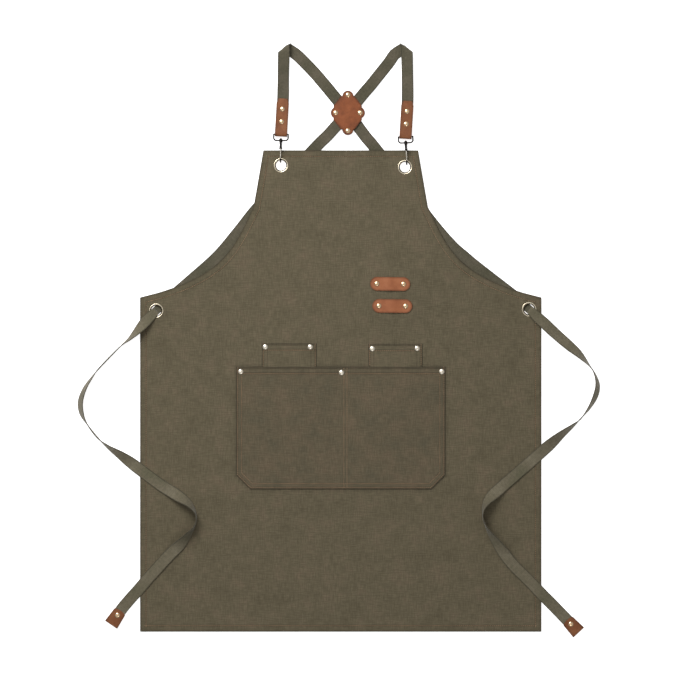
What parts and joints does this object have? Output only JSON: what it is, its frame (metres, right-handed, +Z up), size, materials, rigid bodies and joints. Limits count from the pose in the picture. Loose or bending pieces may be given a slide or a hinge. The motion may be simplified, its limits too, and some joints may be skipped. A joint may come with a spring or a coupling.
{
  "type": "bib apron",
  "caption": "Cross-back canvas bib apron lying flat: snap-hooked webbing straps under a leather patch, tool pockets, leather tool loops and loose waist ties.",
  "frame": {"origin": "middle of the apron without its waist ties, on the surface it lies on", "axes": "+X to the right of a person looking down at it with the straps at the top, +Y from the hem to the straps, +Z up off the surface"},
  "size_m": [0.8873, 1.0099, 0.0227],
  "materials": {
    "canvas": "olive drab plain-weave cotton canvas, matt",
    "webbing": "grey-green cotton webbing, matt",
    "leather": "tan-brown cowhide, low sheen",
    "brass": "pale polished brass",
    "black_nickel": "black nickel plate",
    "bright_nickel": "bright nickel plate",
    "spring_steel": "drawn spring wire"
  },
  "bodies": {
    "root": {"canvas_panel": "canvas", "main_pocket": "canvas", "left_tool_pocket": "canvas", "right_tool_pocket": "canvas", "main_pocket_rivets": "brass", "tool_pocket_rivets": "brass", "pocket_rivet_backs": "brass", "upper_tool_loop": "leather", "lower_tool_loop": "leather", "tool_loop_rivets": "brass", "tool_loop_rivet_backs": "brass", "left_top_eyelet": "brass", "right_top_eyelet": "brass", "left_side_eyelet": "brass", "right_side_eyelet": "brass", "left_top_washer": "brass", "right_top_washer": "brass", "left_side_washer": "brass", "right_side_washer": "brass", "left_shoulder_strap": "webbing", "right_shoulder_strap": "webbing", "left_waist_tie": "webbing", "right_waist_tie": "webbing", "patch_front": "leather", "patch_back": "leather", "patch_rivets": "brass", "patch_rivet_backs": "brass", "left_strap_tab": "leather", "right_strap_tab": "leather", "left_tab_rivets": "brass", "right_tab_rivets": "brass", "left_tab_rivet_backs": "brass", "right_tab_rivet_backs": "brass", "left_tie_end": "leather", "right_tie_end": "leather", "left_tie_end_rivet": "brass", "right_tie_end_rivet": "brass"},
    "left_loop": {"left_hook_loop": "black_nickel"},
    "left_hook": {"left_snap_hook": "black_nickel", "left_gate_pin": "black_nickel", "left_gate_spring": "spring_steel"},
    "left_gate": {"left_hook_gate": "bright_nickel"},
    "right_loop": {"right_hook_loop": "black_nickel"},
    "right_hook": {"right_snap_hook": "black_nickel", "right_gate_pin": "black_nickel", "right_gate_spring": "spring_steel"},
    "right_gate": {"right_hook_gate": "bright_nickel"}
  },
  "joints": [
    {"name": "left_loop_pivot", "type": "hinge", "parent": "root", "child": "left_loop", "pos_m": [-0.1015, 0.345, 0.0064], "axis": [0.9998, -0.0175, 0], "range_deg": [-0.6, 2]},
    {"name": "left_hook_swivel", "type": "hinge", "parent": "left_loop", "child": "left_hook", "pos_m": [-0.1015, 0.345, 0.0064], "axis": [0.0175, 0.9998, 0], "range_deg": [-15, 15]},
    {"name": "left_gate", "type": "hinge", "parent": "left_hook", "child": "left_gate", "pos_m": [-0.10192, 0.3212, 0.0116], "axis": [0.9998, -0.0175, 0], "range_deg": [0, 9], "stiffness_Nm_per_rad": 0.02, "springref_deg": -17.19},
    {"name": "right_loop_pivot", "type": "hinge", "parent": "root", "child": "right_loop", "pos_m": [0.11, 0.341, 0.0064], "axis": [0.999, 0.0436, 0], "range_deg": [-0.6, 2]},
    {"name": "right_hook_swivel", "type": "hinge", "parent": "right_loop", "child": "right_hook", "pos_m": [0.11, 0.341, 0.0064], "axis": [-0.0436, 0.999, 0], "range_deg": [-15, 15]},
    {"name": "right_gate", "type": "hinge", "parent": "right_hook", "child": "right_gate", "pos_m": [0.11104, 0.31722, 0.0116], "axis": [0.999, 0.0436, 0], "range_deg": [0, 9], "stiffness_Nm_per_rad": 0.02, "springref_deg": -17.19}
  ]
}
